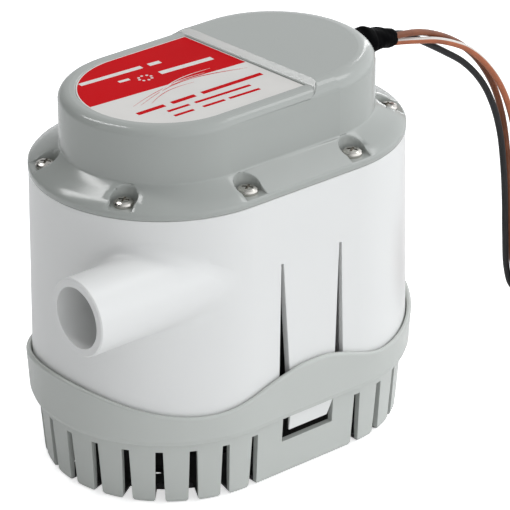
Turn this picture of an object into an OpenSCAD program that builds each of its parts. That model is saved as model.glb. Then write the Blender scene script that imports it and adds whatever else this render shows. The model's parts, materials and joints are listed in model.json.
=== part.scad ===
// Automatic submersible bilge pump on a snap-off strainer base.
// Millimetres, +Z up, origin in the middle of the strainer's base face. X runs along the body,
// -Y is the side with the outlet spout, and the spout points to -X.

/* [Body] */
// Half of the straight run of the racetrack plan
half_len = 25; // [15:0.5:40]
// Outer end radius of the housing at its lower edge
wall_r = 49.75; // [35:0.25:70]
// Outer end radius of the housing at its top
wall_top_r = 48.8; // [35:0.1:70]
// Housing wall thickness
wall_t = 2.85; // [2:0.05:5]
// Height of the housing's lower edge
body_z0 = 27.5; // [20:0.5:40]
// Height of the housing's top edge
body_z1 = 114; // [80:1:150]

/* [Lid] */
// Radius of the dome
dome_r = 37.6; // [25:0.1:60]
// Height of the dome's low part, with the label
dome_z = 143.7; // [120:0.5:180]
// Rise of the dome's high part
dome_rise = 1.7; // [0:0.1:6]
// Length of the ramp from the label up to the high part
ramp_run = 3; // [0.5:0.1:8]
// Angle of the ramp across the dome
ramp_turn = 4; // [-10:0.5:10]
// Depth of the label recess
recess_depth = 0.6; // [0:0.1:2]
// End radius of the label
label_r = 31; // [15:0.1:50]

/* [Outlet] */
// Outer radius of the smooth spout, for a 28.6 mm hose
spout_r = 14.3; // [8:0.05:25]
// Length of the spout that the hose covers
hose_len = 18.5; // [10:0.5:40]
// Bore radius of the spout
spout_bore = 11.3; // [5:0.05:22]
// Height of the spout's axis
spout_z = 87; // [50:0.5:100]
// Sideways place of the spout's axis
spout_y = -34; // [-40:0.5:0]
// Place of the spout's mouth along X
spout_x = -91; // [-130:0.5:-75]

/* [Strainer] */
// Outer radius of the collar at its lip
collar_r = 52.3; // [40:0.1:75]
// Outer radius of the collar at its foot
collar_low_r = 51.2; // [40:0.1:75]
// Outer radius at the top of the slotted skirt
skirt_r = 48.2; // [35:0.1:70]
// Outer radius at the foot of the skirt
foot_r = 46.4; // [35:0.1:70]
// Slot width at the top
slot_w = 2.8; // [1:0.1:5]
// Slot width at the bottom
slot_low_w = 3.6; // [1:0.1:6]
// Height of the slots
slot_h = 22; // [8:0.5:30]
// Angle between slots on the round ends
slot_pitch = 14.8; // [8:0.1:30]

/* [Latch] */
// Offset of the latch from the middle
latch_x = 2.2; // [-10:0.1:10]
// Half width of the tongue at its root
tongue_top = 13; // [6:0.1:20]
// Half width of the tongue at the housing's lower edge
tongue_low = 9.9; // [5:0.1:20]
// Height of the tongue's bending line
hinge_z = 87.6; // [60:0.1:105]
// Half width of the window in the strainer
window_half = 12; // [6:0.1:20]

/* [Pump and motor] */
// Motor axis, along X
motor_x = -20; // [-30:0.5:0]
// Motor axis, along Y
motor_y = 3; // [-10:0.5:10]
// Motor can radius
can_r = 23; // [15:0.5:26]
// Height of the motor can's top
can_z = 128; // [90:1:136]
// Impeller radius
impeller_r = 21.5; // [12:0.5:23]
// Shaft radius
shaft_r = 2.5; // [1.5:0.05:4]

/* [Float switch] */
// Float well axis, along X
float_x = 40; // [30:0.5:50]
// Float radius
float_r = 17.6; // [10:0.1:18]

/* [Leads] */
// Lead wire diameter
wire_d = 2.6; // [1.5:0.1:5]

/* [Hidden] */
$fn = 64;
run_gap = 0.05;
collar_in = wall_r + 0.35;
skirt_t = 2.3;
floor_t = 2.5;
ledge_z = body_z0 - 0.1;
ledge_low = ledge_z - 2.2;
wave_mid = 46.2;
wave_left = 37.3;
wave_right = 38.2;
wave_end = 45.8;
lip_h = 1.4;
bay_left = 43;
bay_right = 38;
turn_left = 69;
turn_right = 75;
crest_flat = 4;
wave_reach = half_len + collar_r + 1;
wave_steps = 39;
slot_flare = 1.7;
flare_h = 1.4;
dome_end = half_len + dome_r;
label_t = 0.3;
label_edge = 11.5;
recess_z = dome_z - recess_depth;
shoulder_z = dome_z - 3.4;
low_lean = 4.2;
high_lean = 6.4;
foot_z = 122.4;
foot_fillet = 1;
screw_ring = 42.9;
screw_floor = 116.8;
screw_x = [-22, 26.3];
screw_turns = [152.5, -147.5, -30, 30];
gasket_t = 0.6;
riser_x = -33;
riser_y = -31;
riser_bore = 10.4;
riser_r = 12.6;
deck_z = 32;
deck_t = 2.5;
volute_z0 = 29.5;
volute_z1 = 47.5;
volute_wall = 2.2;
plate_t = 2.3;
chamber_turns = [-50, 5, 62, 118, 165];
chamber_ring = 33.4;
pocket_in = 38.8;
hook_z0 = 17.8;
hook_left = 8.8;
hook_right = 11.4;
hook_right_low = 9;
hook_z1 = 24.1;
stem_half = 6.5;
slit_top = 1.1;
carrier_z1 = 57;
boot_x = 62;
boot_z = 134.4;
boot_len = 20.5;
boot_tilt = 5;
coil_x = 172;
coil_y = -22;
coil_in = 17.8;
coil_out = 26.2;
coil_h = 5.4;
brown_route = [[81.5, -1.2, 133.7], [88, -1.2, 133.1], [95, -0.9, 131.8], [102.5, -0.4, 129.2],
  [112, 0.4, 124.4], [121, 1.2, 118.2], [130, 1.6, 109.2], [137.5, 1.6, 97.5], [142.5, 1.4, 84],
  [145.5, 1.2, 69], [147, 0.8, 53], [147.8, 0.5, 37], [149, 0.2, 22], [151.5, 0, 12.5],
  [158.2, 0, 8.1]];
stripe_route = [[81.5, -0.3, 131.1], [88, -0.6, 130], [95, -1.5, 128.7], [103, -2.4, 126.9],
  [112, -2.6, 123.2], [120.5, -2.6, 118.2], [129.5, -2.6, 109.8], [137.5, -2.8, 98.5],
  [143.5, -2.6, 85], [147.3, -2.4, 70], [149.6, -2, 55], [150.8, -1.4, 40], [151.8, -0.7, 27],
  [153.6, -0.2, 18], [158.2, 0, 13.5]];
black_route = [[81.5, 1.5, 133.2], [88, 2.2, 132.2], [94, 2.6, 129.8], [101, 2.6, 125.4],
  [111, 2, 118.9], [121.5, 1.2, 111.3], [130, 0.2, 101.5], [136, -0.3, 90], [140, -0.5, 77],
  [142.3, -0.5, 63], [143.8, -0.4, 48], [144.8, -0.2, 32], [146.2, 0, 17], [149.8, 0, 7],
  [158.2, 0, 2.7]];
motor_lead_route = [[-9, 6, 130.6], [-5, 6, 133], [0, 6, 133.6], [6, 6, 132], [9.4, 6, 128],
  [10, 6, 121.8]];
supply_route = [[54, 2.2, 134.4], [50, 2.8, 133.6], [47, 3.4, 131], [45.4, 3.6, 127],
  [45, 3.6, 121.8]];

// ---- Shared shapes ----

// Racetrack outline of end radius r about two centres half_len from the middle.
module track(r) {
  square([2 * half_len, 2 * r], center = true);
  for (s = [-1, 1])
    translate([s * half_len, 0])
      circle(r);
}

// Carries a radial outline, radius by height, round the whole racetrack.
module around_track() {
  for (turn = [-90, 90])
    translate([turn < 0 ? half_len : -half_len, 0, 0])
      rotate([0, 0, turn])
        rotate_extrude(angle = 180)
          children();
  for (side = [0, 1])
    mirror([0, side, 0])
      translate([-half_len, 0, 0])
        rotate([90, 0, 90])
          linear_extrude(2 * half_len)
            children();
}

// Turned ring with a square section.
module ring(outer, inner, z0, z1) {
  translate([0, 0, z0])
    difference() {
      cylinder(h = z1 - z0, r = outer);
      translate([0, 0, -1])
        cylinder(h = z1 - z0 + 2, r = inner);
    }
}

module at_motor() {
  translate([motor_x, motor_y, 0])
    children();
}

module at_float() {
  translate([float_x, 0, 0])
    children();
}

// Front as drawn, back turned half a turn about the vertical.
module both_sides() {
  for (turn = [0, 180])
    rotate([0, 0, turn])
      children();
}

module rod(z0, z1, r) {
  translate([0, 0, z0])
    cylinder(h = z1 - z0, r = r);
}

// Prism whose outline is drawn in X by height and which runs from y0 to y1.
module wall_prism(points, y0, y1) {
  translate([0, y1, 0])
    rotate([90, 0, 0])
      linear_extrude(y1 - y0)
        polygon(points);
}

// ---- Strainer base ----

// Height of the collar's top edge at x on the front: high over the latch and at the ends, and
// lower on the latch's left than on its right.
function wave(x) =
  let (
    right = x > 0,
    low = right ? wave_right : wave_left,
    turn = right ? turn_right : turn_left,
    run = right ? max(x - crest_flat, 0) / (bay_right - crest_flat) : -x / bay_left,
    a = abs(x) <= half_len ? 90 : acos(min(1, (abs(x) - half_len) / collar_in))
  )
  a < turn
    ? low + (wave_end - low) * (0.5 + 0.5 * cos(180 * a / turn))
    : low + (wave_mid - low) * (0.5 + 0.5 * cos(180 * min(run, 1)));

module wave_outline() {
  edge = [
    for (k = [-wave_steps:wave_steps])
      let (x = wave_reach * k / wave_steps)
      [x, wave(x) - lip_h]
  ];
  polygon(concat([[-wave_reach, -1]], edge, [[wave_reach, -1]]));
}

module below_wave() {
  both_sides()
    rotate([90, 0, 0])
      linear_extrude(wave_reach)
        wave_outline();
}

module strainer_section() {
  polygon([[skirt_r - skirt_t - 1.6, 0], [foot_r - 1.6, 0], [foot_r - 0.5, 0.5], [foot_r, 1.7],
    [skirt_r, ledge_low - 1], [skirt_r + 0.2, ledge_low - 0.3], [collar_low_r - 1.8, ledge_low],
    [collar_low_r - 0.7, ledge_low + 0.7], [collar_low_r, ledge_low + 2.6],
    [collar_r, wave_end + 1],
    [collar_in, wave_end + 1], [collar_in, ledge_z], [skirt_r - skirt_t, ledge_z],
    [skirt_r - skirt_t - 1.6, floor_t]]);
}

module slot(reach) {
  top = slot_w / 2;
  low = slot_low_w / 2;
  translate([reach - 10, 0, 0])
    rotate([90, 0, 90])
      linear_extrude(22)
        polygon([[-low - slot_flare, -1], [low + slot_flare, -1], [low, flare_h], [top, slot_h],
          [-top, slot_h], [-low, flare_h]]);
}

module slots() {
  for (k = [-5:5])
    translate([-half_len, 0, 0])
      rotate([0, 0, 180 + 3 + slot_pitch * k])
        slot(foot_r);
  for (k = [0:10])
    translate([half_len, 0, 0])
      rotate([0, 0, slot_pitch * k - 75.1])
        slot(foot_r);
  for (x = [-23.4, 25.3], turn = [-90, 90])
    translate([x, 0, 0])
      rotate([0, 0, turn])
        slot(foot_r);
}

module latch_window() {
  translate([latch_x - 0.6 - window_half, -skirt_r - 4, 14.4])
    cube([2 * window_half, 8, 10]);
  translate([latch_x - tongue_low - 2, -skirt_r + skirt_t - 1, ledge_low - 4])
    cube([2 * tongue_low + 4, 2.3, 8]);
}

module strainer_base() {
  color([0.70, 0.71, 0.69])
    difference() {
      union() {
        intersection() {
          around_track()
            strainer_section();
          below_wave();
        }
        linear_extrude(floor_t)
          track(skirt_r - skirt_t - 1.5);
      }
      slots();
      both_sides()
        latch_window();
      for (x = [-45, 45], y = [-18, 18])
        translate([x, y, -1])
          cylinder(h = floor_t + 2, r = 2.6);
      for (x = [-18:12:18])
        translate([x - slot_w / 2, -24, -1])
          cube([slot_w, 48, floor_t + 2]);
    }
}

// ---- Housing ----

module housing_section() {
  polygon([[wall_r, body_z0], [wall_r, 40], [wall_top_r, body_z1],
    [wall_top_r - wall_t, body_z1], [wall_r - wall_t, 40], [wall_r - wall_t, body_z0]]);
}

module spout_solid() {
  translate([spout_x, spout_y, spout_z])
    rotate([0, 90, 0])
      rotate_extrude()
        polygon([[0, 0], [spout_r - 0.5, 0], [spout_r, 0.5], [spout_r, hose_len + 0.5],
          [spout_r + 0.3, 57], [0, 57]]);
}

module spout_bore_cut() {
  translate([spout_x - 1, spout_y, spout_z])
    rotate([0, 90, 0])
      cylinder(h = riser_x - spout_x + 1, r = spout_bore);
}

function screw_places() = concat(
  [for (a = screw_turns)
    [(abs(a) > 90 ? -half_len : half_len) + screw_ring * cos(a), screw_ring * sin(a)]],
  [for (x = screw_x, s = [-1, 1]) [x, s * screw_ring]]);

// Opening that the latch tongue stands in, with a slit down each side.
module tongue_opening() {
  low = tongue_low + 2.6;
  wall_prism([[latch_x - tongue_top - slit_top, hinge_z + 0.15],
    [latch_x + tongue_top + slit_top, hinge_z + 0.15],
    [latch_x + low + 2.2, body_z0 - 1], [latch_x - low - 3.6, body_z0 - 1]],
    -wall_r - 2, -pocket_in - 5);
}

module latch_pocket_wall() {
  translate([latch_x - tongue_top - 6.5, -wall_r + wall_t - 0.5, body_z0])
    cube([2 * tongue_top + 13, wall_r - wall_t + 0.5 - pocket_in + 2.4, hinge_z + 4.4 - body_z0]);
}

module latch_pocket_cut() {
  translate([latch_x - tongue_top - 4, -wall_r + wall_t - 0.6, body_z0 - 1])
    cube([2 * tongue_top + 8, wall_r - wall_t + 0.6 - pocket_in, hinge_z + 3 - body_z0]);
}

module housing() {
  color([0.92, 0.92, 0.91])
    difference() {
      union() {
        around_track()
          housing_section();
        translate([0, 0, deck_z])
          linear_extrude(deck_t)
            track(wall_r - wall_t + 0.3);
        intersection() {
          union() {
            both_sides()
              latch_pocket_wall();
            for (p = screw_places())
              translate([p[0], p[1], body_z1 - 18])
                cylinder(h = 18, r = 4);
            translate([riser_x, riser_y, volute_z1 + 0.5])
              cylinder(h = spout_z + spout_bore + 2.5 - volute_z1, r = riser_r);
          }
          translate([0, 0, body_z0])
            linear_extrude(body_z1 - body_z0)
              track(wall_top_r - 1);
        }
        spout_solid();
      }
      both_sides() {
        latch_pocket_cut();
        tongue_opening();
      }
      spout_bore_cut();
      translate([riser_x, riser_y, volute_z1 - 1])
        cylinder(h = spout_z + spout_bore - volute_z1 + 1, r = riser_bore);
      translate([0, 0, deck_z - 1])
        linear_extrude(deck_t + 2)
          volute_outline(volute_wall + 0.15);
      translate([float_x, 0, deck_z - 1])
        cylinder(h = deck_t + 2, r = float_r + 0.9);
      for (p = screw_places())
        translate([p[0], p[1], body_z1 - 14])
          cylinder(h = 15, r = 1.9);
      for (a = chamber_turns)
        at_motor()
          rotate([0, 0, a])
            translate([chamber_ring, 0, deck_z - 1])
              cylinder(h = deck_t + 2, r = 1.5);
    }
}

// Tongue that bends at its root: the part of the wall between the slits, a shelf below it and a
// hook that catches under the top edge of the strainer's window.
module latch() {
  low_y = -wall_r + 4;
  face_y = -skirt_r + 0.4;
  color([0.92, 0.92, 0.91]) {
    intersection() {
      around_track()
        housing_section();
      wall_prism([[latch_x - tongue_top, hinge_z], [latch_x + tongue_top, hinge_z],
        [latch_x + tongue_low, body_z0 + 0.4], [latch_x - tongue_low, body_z0 + 0.4]],
        -wall_r - 2, -pocket_in - 5);
    }
    translate([latch_x - tongue_low, low_y - 3.2, body_z0 + 0.4])
      cube([2 * tongue_low, 6, 3]);
    translate([latch_x - tongue_low, low_y, hook_z1 - 2])
      cube([2 * tongue_low, 2.8, body_z0 + 5.4 - hook_z1]);
    translate([latch_x - stem_half, low_y, hook_z0])
      cube([2 * stem_half, 2.8, hook_z1 - hook_z0]);
    intersection() {
      translate([latch_x - hook_right, 0, 0])
        rotate([90, 0, 90])
          linear_extrude(2 * hook_right)
            polygon([[low_y + 1, hook_z1], [face_y, hook_z1], [face_y + 0.9, hook_z0],
              [face_y + 2.3, hook_z0], [face_y + 1.7, hook_z1 - 2], [low_y + 1, hook_z1 - 2]]);
      wall_prism([[latch_x - hook_left, hook_z1 + 1], [latch_x + hook_right, hook_z1 + 1],
        [latch_x + hook_right, hook_z1 - 0.6], [latch_x + hook_right_low, hook_z0 - 1],
        [latch_x - hook_left, hook_z0 - 1]], -60, 0);
    }
  }
}

module latch_front() {
  latch();
}

module latch_back() {
  rotate([0, 0, 180])
    latch();
}

// ---- Lid ----

// Half section of the lid, whose shoulder runs from the dome's side in by "lean" and up to "top".
module dome_section(top, lean) {
  drop = top - shoulder_z;
  shoulder_arc = [for (a = [0:15:90])
    [dome_r - lean * (1 - cos(a)), shoulder_z + drop * sin(a)]];
  foot_arc = [for (a = [60:-20:0])
    [dome_r + foot_fillet * (1 - cos(a)), foot_z + foot_fillet * (1 - sin(a))]];
  polygon(concat([[0, body_z1 + gasket_t], [47.9, body_z1 + gasket_t], [47.9, body_z1 + 0.15],
    [49, body_z1 + 0.15], [49, 116.2], [48.4, 116.9]], foot_arc, shoulder_arc, [[0, top]]));
}

// Half space over the ramp, which crosses the dome a little aslant.
module over_ramp() {
  foot = label_edge + 0.4;
  slope = (dome_z + dome_rise - recess_z) / ramp_run;
  rotate([0, 0, ramp_turn])
    wall_prism([[foot - (recess_z - shoulder_z) / slope, shoulder_z],
      [foot + ramp_run + 1 / slope, dome_z + dome_rise + 1], [110, dome_z + dome_rise + 1],
      [110, shoulder_z]], -70, 70);
}

module dome_cavity() {
  around_track()
    polygon([[0, 110], [34.8, 110], [34.6, 137], [33.4, 139.4], [30.6, 141.2], [0, 141.2]]);
}

// Pocket round a screw head at p, open towards the rim.
module lid_screw_pocket(p) {
  out = p - [max(-half_len, min(half_len, p[0])), 0];
  for (k = [0, 1])
    translate([p[0], p[1], screw_floor])
      rotate([0, 0, atan2(out[1], out[0])])
        if (k == 0)
          cylinder(h = 9, r1 = 4.9, r2 = 5.1);
        else
          translate([0, -4.4, 0])
            cube([8, 8.8, 9]);
}

module lid() {
  color([0.69, 0.71, 0.69])
    difference() {
      union() {
        around_track()
          dome_section(dome_z, low_lean);
        intersection() {
          around_track()
            dome_section(dome_z + dome_rise, high_lean);
          over_ramp();
        }
      }
      dome_cavity();
      intersection() {
        translate([0, 0, recess_z])
          linear_extrude(dome_rise + 5)
            track(label_r + 0.3);
        rotate([0, 0, ramp_turn])
          translate([-90, -60, recess_z - 1])
            cube([90 + label_edge + 0.4, 120, 12]);
      }
      for (p = screw_places()) {
        lid_screw_pocket(p);
        translate([p[0], p[1], 110])
          cylinder(h = 10, r = 2.1);
      }
      translate([dome_end - 8, 0, boot_z])
        rotate([0, 90, 0])
          cylinder(h = 16, r = 4.6);
    }
  color([0.69, 0.71, 0.69])
    for (p = board_posts())
      translate([p[0], p[1], 121.6])
        cylinder(h = 20, r = 2.6);
}

module lid_gasket() {
  color([0.12, 0.12, 0.12])
    difference() {
      translate([0, 0, body_z1])
        linear_extrude(gasket_t)
          difference() {
            track(47.5);
            track(screw_ring - 3.3);
          }
      for (p = screw_places())
        translate([p[0], p[1], body_z1 - 1])
          cylinder(h = 3, r = 2.2);
    }
}

module label() {
  color([0.77, 0.08, 0.13])
    translate([0, 0, recess_z])
      linear_extrude(label_t)
        intersection() {
          track(label_r);
          rotate(ramp_turn)
            translate([-90, -60])
              square([90 + label_edge, 120]);
        }
}

module lid_screws() {
  color([0.75, 0.75, 0.74])
    for (p = screw_places())
      translate([p[0], p[1], screw_floor])
        difference() {
          rotate_extrude()
            polygon([[0, -14.5], [1.2, -14.5], [1.85, -13.5], [1.85, 0], [3.7, 0], [3.75, 1],
              [3.4, 1.7], [2.6, 2.15], [0, 2.4]]);
          for (turn = [35, 125])
            rotate([0, 0, turn])
              translate([-2, -0.45, 1.1])
                cube([4, 0.9, 2]);
        }
}

// ---- Cable entry ----

module cable_boot() {
  color([0.05, 0.05, 0.05]) {
    translate([dome_end - 7, 0, boot_z])
      rotate([0, 90, 0])
        cylinder(h = 9, r = 4.5);
    translate([boot_x, 0, boot_z])
      rotate([0, 90 + boot_tilt, 0])
        rotate_extrude()
          polygon([[0, 0.8], [5.2, 0.8], [5.5, 3], [5.4, 8], [4.9, 12], [4.5, 17],
            [4.2, boot_len - 0.4], [3.8, boot_len], [0, boot_len]]);
  }
}

// ---- Pump ----

// Spiral passage grown by "more", with its tangential way out to the riser.
module volute_outline(more) {
  at_motor()
    polygon([for (a = [0:10:350])
      (24.5 + 4 * a / 360 + more) * [cos(a - 160), sin(a - 160)]]);
  hull() {
    translate([motor_x - 20.6, motor_y - 7.5])
      circle(8 + more);
    translate([riser_x, riser_y])
      circle(riser_bore + more);
  }
}

module flange_outline() {
  pocket_wide = 2 * tongue_top + 13.4;
  difference() {
    intersection() {
      volute_outline(volute_wall + 4.6);
      track(wall_r - wall_t - 1.2);
    }
    for (turn = [0, 180])
      rotate(turn)
        translate([latch_x - pocket_wide / 2, -pocket_in - 40])
          square([pocket_wide, 42.6]);
  }
}

module chamber_holes(r) {
  for (a = chamber_turns)
    at_motor()
      rotate([0, 0, a])
        translate([chamber_ring, 0, 20])
          cylinder(h = 20, r = r);
}

module volute() {
  color([0.85, 0.85, 0.84])
    difference() {
      union() {
        translate([0, 0, volute_z0])
          linear_extrude(volute_z1 - volute_z0)
            volute_outline(volute_wall);
        translate([0, 0, volute_z0])
          linear_extrude(deck_z - volute_z0)
            flange_outline();
      }
      translate([0, 0, volute_z0 - 1])
        linear_extrude(volute_z1 - volute_z0 - 1.3)
          volute_outline(0);
      at_motor()
        rod(40, 50, 9);
      translate([riser_x, riser_y, 40])
        cylinder(h = 10, r = riser_bore - 1);
      chamber_holes(1.6);
    }
}

module inlet_plate() {
  color([0.80, 0.80, 0.79])
    difference() {
      union() {
        translate([0, 0, volute_z0 - plate_t])
          linear_extrude(plate_t)
            flange_outline();
        at_motor()
          rod(25, volute_z0, 13);
      }
      at_motor()
        rod(20, 40, 11);
      chamber_holes(1.6);
    }
}

module chamber_screws() {
  color([0.75, 0.75, 0.74])
    for (a = chamber_turns)
      at_motor()
        rotate([0, 0, a])
          translate([chamber_ring, 0, 0]) {
            rod(volute_z0 - plate_t - 1.6, volute_z0 - plate_t, 2.7);
            rod(volute_z0 - plate_t - 0.5, deck_z + deck_t - 0.3, 1.45);
          }
}

module riser_seal() {
  color([0.1, 0.1, 0.1])
    translate([riser_x, riser_y, 0])
      ring(riser_r, riser_bore, volute_z1, volute_z1 + 0.5);
}

// One curved vane from the hub to the rim.
module vane() {
  rim = impeller_r - 0.4;
  inner = [for (t = [0:0.1:1]) (7 + (rim - 7.6) * t) * [cos(-70 * t), sin(-70 * t)]];
  outer = [for (t = [1:-0.1:0]) (8.6 + (rim - 8.6) * t) * [cos(-70 * t), sin(-70 * t)]];
  polygon(concat(inner, outer));
}

module impeller() {
  color([0.15, 0.25, 0.55])
    at_motor()
      difference() {
        union() {
          rod(42, 43.8, impeller_r);
          rod(34, 44.3, 5.5);
          for (k = [0:5])
            rotate([0, 0, 60 * k])
              translate([0, 0, 30.3])
                linear_extrude(12)
                  vane();
        }
        rod(25, 50, shaft_r);
      }
}

module impeller_nut() {
  color([0.72, 0.6, 0.3])
    at_motor()
      difference() {
        translate([0, 0, 31])
          cylinder(h = 3, r = 4.6, $fn = 6);
        rod(25, 50, shaft_r);
      }
}

module shaft() {
  color([0.7, 0.7, 0.7])
    at_motor()
      rod(30.6, 129.6, shaft_r);
}

module shaft_seal() {
  color([0.1, 0.1, 0.1])
    at_motor()
      ring(6.5, shaft_r + run_gap, 47, 51.4);
}

module seal_carrier() {
  color([0.2, 0.2, 0.2])
    at_motor()
      difference() {
        union() {
          rod(45.4, 48, 8.8);
          rod(volute_z1, carrier_z1, can_r + 0.1);
        }
        rod(40, 60, 4);
        rod(47, 51.4, 6.5);
        rod(53, 60, 7.5);
      }
}

// ---- Motor ----

module bearing_lower() {
  color([0.75, 0.6, 0.35])
    at_motor()
      ring(7.5, shaft_r + run_gap, 53, carrier_z1);
}

module bearing_upper() {
  color([0.75, 0.6, 0.35])
    at_motor()
      ring(7, shaft_r + run_gap, can_z - 1.6, can_z + 2.2);
}

module motor_end_plate() {
  color([0.6, 0.62, 0.63])
    at_motor()
      ring(can_r - 1.6, 8.5, carrier_z1, carrier_z1 + 2.4);
}

module motor_can() {
  color([0.62, 0.64, 0.66])
    at_motor()
      rotate_extrude()
        polygon([[can_r, carrier_z1], [can_r, can_z - 1.5], [can_r - 1.5, can_z], [8.6, can_z],
          [8.6, can_z + 3.6], [0, can_z + 3.6], [0, can_z + 2.2], [7, can_z + 2.2],
          [7, can_z - 1.6], [can_r - 1.6, can_z - 1.6], [can_r - 1.6, carrier_z1]]);
}

module motor_magnets() {
  color([0.18, 0.18, 0.2])
    at_motor()
      for (turn = [20, 200])
        rotate([0, 0, turn])
          translate([0, 0, 68])
            rotate_extrude(angle = 140)
              translate([17.2, 0])
                square([can_r - 1.6 - 17.2, 44]);
}

module armature_stack() {
  color([0.45, 0.46, 0.48])
    at_motor()
      difference() {
        rod(74, 106, 16.6);
        for (k = [0:7])
          rotate([0, 0, 45 * k])
            translate([11, -1.6, 70])
              cube([8, 3.2, 40]);
        rod(70, 110, shaft_r);
      }
}

module windings() {
  color([0.72, 0.42, 0.2])
    at_motor() {
      ring(15.6, 5, 67, 74);
      ring(15.6, 5, 106, 112.5);
      for (k = [0:7])
        rotate([0, 0, 45 * k])
          translate([11.2, -1.5, 73])
            cube([4.2, 3, 34]);
    }
}

module commutator() {
  color([0.75, 0.45, 0.25])
    at_motor()
      difference() {
        rod(116, 124, 6.5);
        rod(110, 130, shaft_r);
        for (k = [0:7])
          rotate([0, 0, 45 * k])
            translate([5.6, -0.2, 117])
              cube([2, 0.4, 8]);
      }
}

module brush_plate() {
  color([0.35, 0.25, 0.18])
    at_motor()
      difference() {
        union() {
          ring(can_r - 1.7, 7.6, 113.5, 115.5);
          for (turn = [0, 180])
            rotate([0, 0, turn])
              translate([8, -3.6, 115.4])
                cube([12, 7.2, 7.6]);
        }
        for (turn = [0, 180])
          rotate([0, 0, turn])
            translate([6, -2.2, 116.8])
              cube([12.8, 4.4, 4.8]);
      }
}

module brushes() {
  color([0.12, 0.12, 0.12])
    at_motor()
      for (turn = [0, 180])
        rotate([0, 0, turn])
          translate([6.56, -2.1, 116.9])
            cube([7, 4.2, 4.6]);
}

module brush_springs() {
  color([0.7, 0.6, 0.35])
    at_motor()
      for (turn = [0, 180])
        rotate([0, 0, turn])
          for (k = [0:5])
            translate([14 + 0.8 * k, 0, 119.2])
              rotate([0, 90, 0])
                rotate_extrude()
                  translate([1.5, 0])
                    circle(0.42, $fn = 16);
}

// ---- Float switch ----

module float_well() {
  top = 92;
  color([0.9, 0.9, 0.89])
    at_float()
      difference() {
        union() {
          difference() {
            rod(deck_z + deck_t, top, float_r + 2.9);
            rod(deck_z, top - 2.4, float_r + 0.9);
          }
          rod(deck_z + 1, top, 4.2);
        }
        rod(deck_z + 2.6, top + 1, 3);
        translate([12, 0, top - 4])
          cylinder(h = 6, r = 1.2);
      }
}

module float_guard() {
  color([0.85, 0.85, 0.84])
    at_float()
      difference() {
        rod(29.8, deck_z, 21);
        rod(28, 40, 5);
        for (a = [0:45:315])
          rotate([0, 0, a])
            translate([7.5, -2.4, 28])
              cube([10.5, 4.8, 6]);
      }
}

module float() {
  z0 = deck_z + 1;
  color([0.95, 0.55, 0.15])
    at_float()
      difference() {
        rod(z0, z0 + 20, float_r);
        rod(z0 - 1, z0 + 21, 4.9);
        rod(z0 + 13, z0 + 21, 9.2);
      }
}

module float_magnet() {
  color([0.25, 0.25, 0.27])
    at_float()
      ring(9.2, 5.2, deck_z + 14, deck_z + 19);
}

module reed_switch() {
  color([0.6, 0.75, 0.7])
    at_float() {
      rod(62, 78, 1.4);
      rod(58, 84, 0.5);
    }
}

// ---- Control electronics ----

function board_posts() = [[11, -15], [11, 15], [44, -15], [44, 15]];

module control_board() {
  color([0.1, 0.35, 0.2])
    difference() {
      translate([7, -18.5, 120])
        cube([41, 37, 1.6]);
      for (p = board_posts())
        translate([p[0], p[1], 119])
          cylinder(h = 4, r = 1.5);
    }
}

module board_screws() {
  color([0.75, 0.75, 0.74])
    for (p = board_posts())
      translate([p[0], p[1], 0]) {
        rod(118.2, 120, 2.4);
        rod(119, 121.6, 1.4);
      }
}

module relay() {
  color([0.1, 0.2, 0.5])
    translate([16, -9.5, 121.6])
      cube([19, 15, 15]);
}

module capacitor() {
  color([0.15, 0.15, 0.2])
    translate([40, 4, 0])
      rod(121.6, 134, 4);
}

// ---- Leads ----

module motor_leads() {
  color([0.6, 0.1, 0.1])
    for (side = [-1, 1])
      tube([for (p = motor_lead_route) [p[0], side * p[1], p[2]]], 1.8);
}

module supply_leads() {
  color([0.1, 0.1, 0.1])
    for (side = [-1, 0, 1])
      tube([for (p = supply_route) [p[0], side * p[1], p[2]]], 2);
}

// Tube of eight sides swept along a route smoothed with one middle point per stretch.
function between(p, i) =
  (9 * (p[i] + p[i + 1]) - p[max(i - 1, 0)] - p[min(i + 2, len(p) - 1)]) / 16;

function smooth(p) =
  concat([for (i = [0:len(p) - 2], k = [0, 1]) k == 0 ? p[i] : between(p, i)],
    [p[len(p) - 1]]);

function unit(v) = v / norm(v);

function sides(path, i, r) =
  let (d = unit(path[min(i + 1, len(path) - 1)] - path[max(i - 1, 0)]),
    u = unit(cross(d, [0, 1, 0])), v = cross(d, u))
  [for (a = [0:45:315]) path[i] + r * (cos(a) * u + sin(a) * v)];

module tube(route, d) {
  path = smooth(route);
  n = len(path);
  rings = [for (i = [0:n - 1]) each sides(path, i, d / 2)];
  walls = [for (i = [0:n - 2], k = [0:7])
    [8 * i + k, 8 * i + (k + 1) % 8, 8 * i + 8 + (k + 1) % 8, 8 * i + 8 + k]];
  tris = [for (q = walls) each [[q[0], q[2], q[1]], [q[0], q[3], q[2]]]];
  polyhedron(rings, concat(tris, [[for (k = [0:7]) k]],
    [[for (k = [7:-1:0]) 8 * (n - 1) + k]]));
}

module wire_black() {
  color([0.04, 0.04, 0.04])
    tube(black_route, wire_d);
}

module wire_brown() {
  color([0.38, 0.17, 0.08])
    tube(brown_route, wire_d);
}

module wire_stripe() {
  color([0.72, 0.33, 0.12])
    tube(stripe_route, wire_d);
}

module coil(level) {
  translate([coil_x, coil_y, 0])
    ring(coil_out, coil_in, level * coil_h, (level + 1) * coil_h);
}

module coil_black() {
  color([0.04, 0.04, 0.04])
    coil(0);
}

module coil_brown() {
  color([0.38, 0.17, 0.08])
    coil(1);
}

module coil_stripe() {
  color([0.72, 0.33, 0.12])
    coil(2);
}

module wire_tie() {
  wide = coil_out - coil_in;
  color([0.08, 0.08, 0.08])
    translate([coil_x + coil_in - 1.2, coil_y - 2, 0])
      difference() {
        cube([wide + 2.4, 4, 3 * coil_h + 1.2]);
        translate([1.1, -1, -1])
          cube([wide + 0.2, 6, 3 * coil_h + 1.1]);
      }
}

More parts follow.
